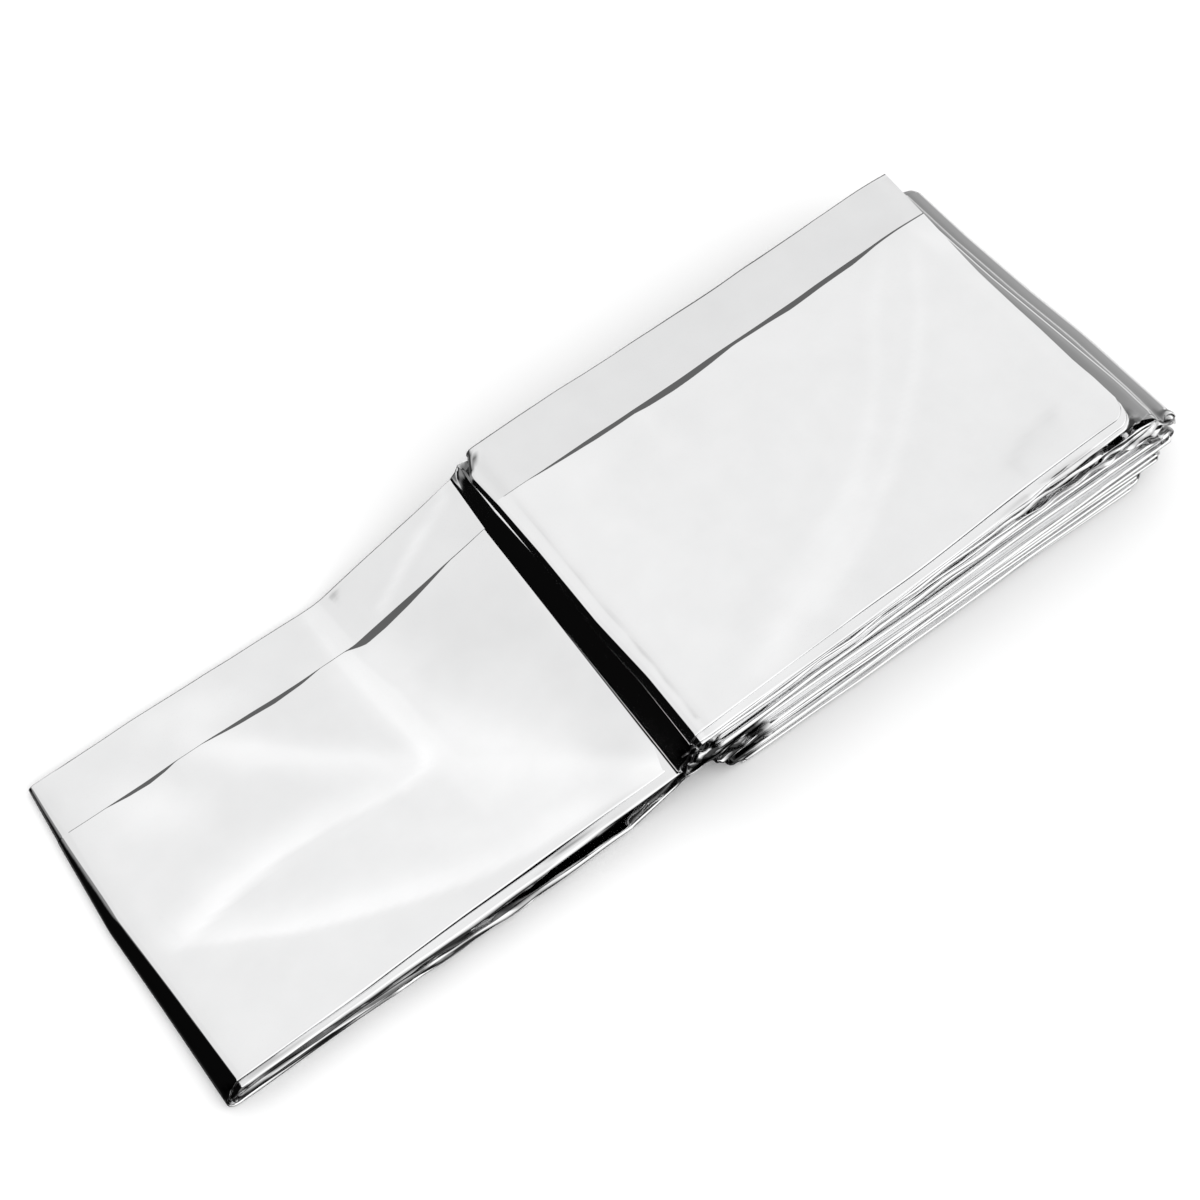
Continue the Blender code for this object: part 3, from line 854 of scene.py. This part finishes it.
def crumple_film(places):
    """How far the film's points are shifted in the crumpled places, and how much shade is painted on
    them.
    """
    shift = np.zeros(places.shape)
    dull = np.zeros(places.shape[:2])
    for crumple in CRUMPLES:
        away = np.linalg.norm((places - crumple.middle) / np.array(crumple.reach), axis=-1)
        fade = smooth(CRUMPLE_FADE * (1.0 - away))
        cells = places / np.array(crumple.facet)
        for axis, push in enumerate(crumple.push):
            if push:
                shift[..., axis] += push * fade * facets(cells, crumple.seed + 100 * axis)
        # painted shade: some crumpled facets get a darker tone
        patch = smooth(crumple.cover + PATCH_CONTRAST * facets(cells, crumple.seed + 300))
        dull = np.maximum(dull, crumple.dull * smooth(PAINTED_SHADE_FADE * fade) * patch)
    return shift, dull


def film_surface(segments, fine):
    """Places and tone of the film's points, painted highlights and shade included, a row for each
    station and its columns along it.
    """
    columns = film_columns(fine)
    flap = columns.far_fold == 0
    v = columns.across * np.where(flap, FLAP_WIDTH / BAND_WIDTH, 1.0)
    strip = join([make(number, stations, v) for make, number, stations in segments])

    along_x = np.gradient(strip.x, axis=0)
    along_z = np.gradient(strip.z, axis=0)
    length = np.hypot(along_x, along_z)
    normal_x, normal_z = -along_z / length, along_x / length

    on_run = (np.abs(strip.level - UPPER_RUN) < RUN_FACE) & (strip.x < 0.0)
    on_top = strip.level > TOP - TOP_FACE
    lip = LIP_LEAST + on_run * lookup(RUN_LIP, strip.x) + on_top * lookup(PACKET_LIP, strip.x)
    near, far = fold_lines(strip, columns)
    near = near + BIGHT_DEPTH
    far = far - np.where(flap, lip, BIGHT_DEPTH)
    y = mix(near, far, columns.across) + columns.arc * BIGHT_DEPTH + columns.lip * lip

    middle = (strip.reach_out - strip.reach_in) / 2.0
    offset = middle + ply_places(strip, columns) * (strip.reach_out + strip.reach_in)
    x = strip.x + normal_x * offset
    z = strip.z + normal_z * offset

    drop = lip * LIP_SLOPE * (strip.level % 2.0 == 0.0) * (on_run | on_top)
    raised = flap * (columns.ply == 0.0) * smooth(1.0 - (far - y) / LIP_RAISE_OVER)
    z = z + drop * np.where(columns.lip > 0.0, np.maximum(1.0 - columns.lip / LIP_FOOT, 0.0), raised)
    rise, painted_light = film_relief(strip, columns, y)

    places = np.stack((x, y, z + rise), axis=-1)
    shift, dull = crumple_film(places)
    places = places + shift
    places[..., 2] = np.maximum(places[..., 2], FLOOR_CLEAR)

    outer = (columns.ply < 0.2) | (columns.ply > PLIES - 1.5) | (columns.across < NEAR_FOLD_SHARE)
    outer_tone = np.where(on_run, RUN_OUTER_TONE, OUTER_TONE)
    between_tone = np.where(x < 0.0, RUN_BETWEEN_TONE, BETWEEN_TONE)
    # the plies' tones, with painted highlights added and painted shade taken off
    tone = (np.where(outer, outer_tone, between_tone) + painted_light) * (1.0 - dull)
    return places, tone


MEASURED_ROW, MEASURED_COLUMN = 5, 10  # where the film's lengths are taken, clear of its edges
UV_UNITS = 10.0  # in a metre of film


def film_lengths(places):
    """The film's own lengths, mm, along and across the band, up to each row and column."""
    return [
        np.concatenate(((0.0,), np.cumsum(np.linalg.norm(np.diff(line, axis=0), axis=-1))))
        for line in (places[:, MEASURED_COLUMN], places[MEASURED_ROW])
    ]


def make_mesh(name, places, tone, material):
    """A mesh of quads over a grid of places, with the film's own lengths as its UV map."""
    rows, width = places.shape[:2]
    index = np.arange(rows * width).reshape(rows, width)
    quads = np.stack((index[:-1, :-1], index[:-1, 1:], index[1:, 1:], index[1:, :-1]), axis=-1)
    quads = quads.reshape(-1, 4)
    mesh = bpy.data.meshes.new(name)
    mesh.from_pydata(((places.reshape(-1, 3) - ORIGIN) * MM).tolist(), [], quads.tolist())
    mesh.shade_smooth()
    mesh.materials.append(material)

    along, across = film_lengths(places)
    film = np.stack(np.broadcast_arrays(along[:, None], across[None, :]), axis=-1) * MM * UV_UNITS
    uv = mesh.uv_layers.new(name="film")
    uv.data.foreach_set("uv", film.reshape(-1, 2)[quads.ravel()].ravel())
    # the tone holds the plies' tones with the painted highlights and shade
    shade = mesh.attributes.new("tone", "FLOAT", "POINT")
    shade.data.foreach_set("value", tone.ravel().astype(np.float32))

    piece = bpy.data.objects.new(name, mesh)
    bpy.context.scene.collection.objects.link(piece)
    return piece


# ---- material

FILM_COLOUR = (0.946, 0.947, 0.950)
MOTTLE = 0.972, 1.0  # least and most of its slight changes
ROUGHNESS = 0.03, 0.07


def foil_material():
    material = bpy.data.materials.new("metallised_film")
    material.use_nodes = True
    nodes, links = material.node_tree.nodes, material.node_tree.links
    shader = nodes["Principled BSDF"]
    shader.inputs["Metallic"].default_value = 1.0

    def node(kind, **settings):
        made = nodes.new(kind)
        for key, value in settings.items():
            setattr(made, key, value)
        return made

    uv = node("ShaderNodeUVMap", uv_map="film").outputs[0]
    place = node("ShaderNodeTexCoord").outputs["Object"]

    def noise(vector, scale, detail, stretch=(1.0, 1.0, 1.0)):
        mapping = node("ShaderNodeMapping")
        mapping.inputs["Scale"].default_value = stretch
        links.new(vector, mapping.inputs["Vector"])
        made = node("ShaderNodeTexNoise")
        made.inputs["Scale"].default_value = scale
        made.inputs["Detail"].default_value = detail
        links.new(mapping.outputs[0], made.inputs["Vector"])
        return made.outputs["Fac"]

    def span(value, low, high):
        made = node("ShaderNodeMapRange")
        made.inputs["From Min"].default_value = 0.3
        made.inputs["From Max"].default_value = 0.7
        made.inputs["To Min"].default_value = low
        made.inputs["To Max"].default_value = high
        links.new(value, made.inputs["Value"])
        return made.outputs["Result"]

    # the tone attribute brings in the painted highlights and shade
    tone = node("ShaderNodeAttribute", attribute_name="tone").outputs["Fac"]
    mottle = span(noise(place, 130.0, 7.0), *MOTTLE)
    shade = node("ShaderNodeMath", operation="MULTIPLY")
    links.new(tone, shade.inputs[0])
    links.new(mottle, shade.inputs[1])
    colour = node("ShaderNodeVectorMath", operation="SCALE")
    colour.inputs[0].default_value = FILM_COLOUR
    links.new(shade.outputs[0], colour.inputs["Scale"])
    links.new(colour.outputs[0], shader.inputs["Base Color"])
    links.new(span(noise(uv, 9.0, 4.0), *ROUGHNESS), shader.inputs["Roughness"])

    ripple = node("ShaderNodeBump")
    ripple.inputs["Strength"].default_value = 0.25
    ripple.inputs["Distance"].default_value = 0.0004
    links.new(noise(place, 60.0, 2.0), ripple.inputs["Height"])
    wrinkle = node("ShaderNodeBump")
    wrinkle.inputs["Strength"].default_value = 0.06
    wrinkle.inputs["Distance"].default_value = 0.0001
    links.new(noise(uv, 30.0, 5.0, (0.5, 2.0, 1.0)), wrinkle.inputs["Height"])
    links.new(ripple.outputs[0], wrinkle.inputs["Normal"])
    links.new(wrinkle.outputs[0], shader.inputs["Normal"])
    return material


# ---- stage

# The photo's view: the point on the surface that it looks at, and how far off it stands, mm.
CAMERA_TARGET = np.array((5.7, 46.2, 0.0))
CAMERA_DISTANCE = 511.0
CAMERA_AZIMUTH, CAMERA_ELEVATION = math.radians(-36.2), math.radians(63.2)
CAMERA_LENS = 72.0


def make_camera():
    azimuth, elevation = CAMERA_AZIMUTH, CAMERA_ELEVATION
    back = Vector((
        math.sin(azimuth) * math.cos(elevation),
        -math.cos(azimuth) * math.cos(elevation),
        math.sin(elevation),
    ))
    data = bpy.data.cameras.new("camera")
    data.lens = CAMERA_LENS
    data.sensor_width = 36.0
    data.clip_start = 0.01
    camera = bpy.data.objects.new("camera", data)
    camera.location = Vector((CAMERA_TARGET - ORIGIN) * MM) + back * CAMERA_DISTANCE * MM
    camera.rotation_mode = "QUATERNION"
    camera.rotation_quaternion = (-back).to_track_quat("-Z", "Y")
    bpy.context.scene.collection.objects.link(camera)
    bpy.context.scene.camera = camera


FLOOR_SIZE = 6.0  # half its width, m
FLOOR_COLOUR = (0.95, 0.95, 0.95, 1.0)
SUN_STRENGTH, SUN_SPREAD = 1.25, 120.0


def make_floor():
    mesh = bpy.data.meshes.new("floor")
    corners = [(x * FLOOR_SIZE, y * FLOOR_SIZE, 0.0) for x, y in ((-1, -1), (1, -1), (1, 1), (-1, 1))]
    mesh.from_pydata(corners, [], [(0, 1, 2, 3)])
    material = bpy.data.materials.new("floor")
    material.use_nodes = True
    shader = material.node_tree.nodes["Principled BSDF"]
    shader.inputs["Base Color"].default_value = FLOOR_COLOUR
    shader.inputs["Roughness"].default_value = 0.9
    mesh.materials.append(material)
    floor = bpy.data.objects.new("floor", mesh)
    floor.visible_glossy = False
    bpy.context.scene.collection.objects.link(floor)


def make_light():
    data = bpy.data.lights.new("ceiling", "SUN")
    data.energy = SUN_STRENGTH
    data.angle = math.radians(SUN_SPREAD)
    light = bpy.data.objects.new("ceiling", data)
    light.visible_glossy = False
    bpy.context.scene.collection.objects.link(light)


# The studio that the film reflects, in tones of grey.  Its bounds are sines of the elevation.
BACKDROP = 1.0  # what the camera sees behind the floor
WALL_SOFT = 0.03  # half of the blur between wall and ceiling
WALL_FOOT, WALL_HIGH = 0.08, 0.6  # between these the wall goes from its foot's tone to its top's
GROUND_LOW, GROUND_HIGH = -0.34, -0.12  # between these the ground goes over into the wall
UNDER_LOW, UNDER_HIGH, UNDER = -0.68, -0.52, 0.04  # the same from straight down, and its tone
# The studio by azimuth, degrees from +X towards +Y: sine of the elevation where the wall ends and
# the bright ceiling starts, brightness of the wall at its top and at its foot, and of the ground.
STUDIO = (
    (-180.0, 0.68, 0.003, 0.003, 0.003),
    (-152.0, 0.68, 0.003, 0.003, 0.003),
    (-146.0, 0.62, 0.2, 0.2, 0.12),
    (-98.0, 0.55, 0.25, 0.25, 0.12),
    (-88.0, 0.5, 1.1, 0.95, 0.5),
    (-30.0, 0.5, 1.1, 0.95, 0.5),
    (-18.0, 0.64, 0.2, 0.4, 0.92),
    (44.0, 0.64, 0.2, 0.38, 0.9),
    (52.0, 0.68, 0.14, 0.15, 0.3),
    (118.0, 0.68, 0.14, 0.15, 0.3),
    (126.0, 0.66, 0.3, 0.3, 0.3),
    (144.0, 0.66, 0.3, 0.3, 0.2),
    (149.0, 0.68, 0.003, 0.003, 0.003),
    (180.0, 0.68, 0.003, 0.003, 0.003),
)
# The ceiling: its brightness, and glows on it, each along one axis of the direction, from where it
# starts to where it is full.
CEILING = 0.93
X_AXIS, Y_AXIS = 0, 1
Glow = namedtuple("Glow", "axis start full amount")
GLOWS = (
    Glow(X_AXIS, 0.32, 0.04, 0.08),
    Glow(Y_AXIS, 0.56, 0.46, 0.02),
    Glow(Y_AXIS, 0.42, 0.22, -0.04),
    Glow(Y_AXIS, 0.2, 0.08, 0.12),
    Glow(X_AXIS, -0.12, -0.28, -0.05),
    Glow(X_AXIS, 0.5, 0.65, 0.12),
    Glow(Y_AXIS, 0.1, -0.3, 0.2),
)


def make_world():
    world = bpy.data.worlds.new("studio")
    bpy.context.scene.world = world
    world.use_nodes = True
    nodes, links = world.node_tree.nodes, world.node_tree.links
    nodes.clear()
    output = nodes.new("ShaderNodeOutputWorld")
    background = nodes.new("ShaderNodeBackground")
    links.new(background.outputs["Background"], output.inputs["Surface"])

    def fill(socket, value):
        if isinstance(value, float):
            socket.default_value = value
        else:
            links.new(value, socket)

    def math_node(operation, *values):
        node = nodes.new("ShaderNodeMath")
        node.operation = operation
        for socket, value in zip(node.inputs, values):
            fill(socket, value)
        return node.outputs[0]

    def ramp(value, stops):
        node = nodes.new("ShaderNodeValToRGB")
        elements = node.color_ramp.elements
        while len(elements) < len(stops):
            elements.new(1.0)
        for element, (place, grey) in zip(elements, stops):
            element.position = place
            element.color = (grey, grey, grey, 1.0)
        links.new(value, node.inputs[0])
        return node.outputs[0]

    def step(value, low, high):
        node = nodes.new("ShaderNodeMapRange")
        node.interpolation_type = "SMOOTHSTEP"
        links.new(value, node.inputs["Value"])
        node.inputs["From Min"].default_value = low
        node.inputs["From Max"].default_value = high
        return node.outputs["Result"]

    def blend(share, first, second):
        node = nodes.new("ShaderNodeMix")
        node.data_type = "FLOAT"
        for number, value in ((0, share), (2, first), (3, second)):
            fill(node.inputs[number], value)
        return node.outputs[0]

    split = nodes.new("ShaderNodeSeparateXYZ")
    links.new(nodes.new("ShaderNodeTexCoord").outputs["Generated"], split.inputs[0])
    direction = list(split.outputs)
    azimuth = math_node("ARCTAN2", direction[1], direction[0])
    turn = math_node("MULTIPLY_ADD", azimuth, 0.5 / math.pi, 0.5)
    top, high, foot, ground = (
        ramp(turn, [((row[0] + 180.0) / 360.0, row[part]) for row in STUDIO]) for part in range(1, 5)
    )
    upward = direction[2]
    wall = blend(step(upward, WALL_FOOT, WALL_HIGH), foot, high)
    wall = blend(step(upward, GROUND_LOW, GROUND_HIGH), ground, wall)
    wall = blend(step(upward, UNDER_LOW, UNDER_HIGH), UNDER, wall)
    ceiling = CEILING
    for glow in GLOWS:
        share = step(direction[glow.axis], glow.start, glow.full)
        ceiling = math_node("MULTIPLY_ADD", share, glow.amount, ceiling)
    over = math_node("SUBTRACT", upward, top)
    studio = blend(step(over, -WALL_SOFT, WALL_SOFT), wall, ceiling)
    seen = nodes.new("ShaderNodeLightPath").outputs["Is Camera Ray"]
    links.new(blend(seen, studio, BACKDROP), background.inputs["Color"])


def make_film():
    material = foil_material()
    for piece in PIECES:
        places, tone = film_surface(piece_segments(piece), piece.fine)
        film = make_mesh(piece.name, places, tone, material)
        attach(film, "root")
        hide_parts("foil_blanket")


def main():
    bpy.context.scene.view_settings.view_transform = "Standard"
    make_camera()
    make_floor()
    make_light()
    make_world()
    make_film()


main()
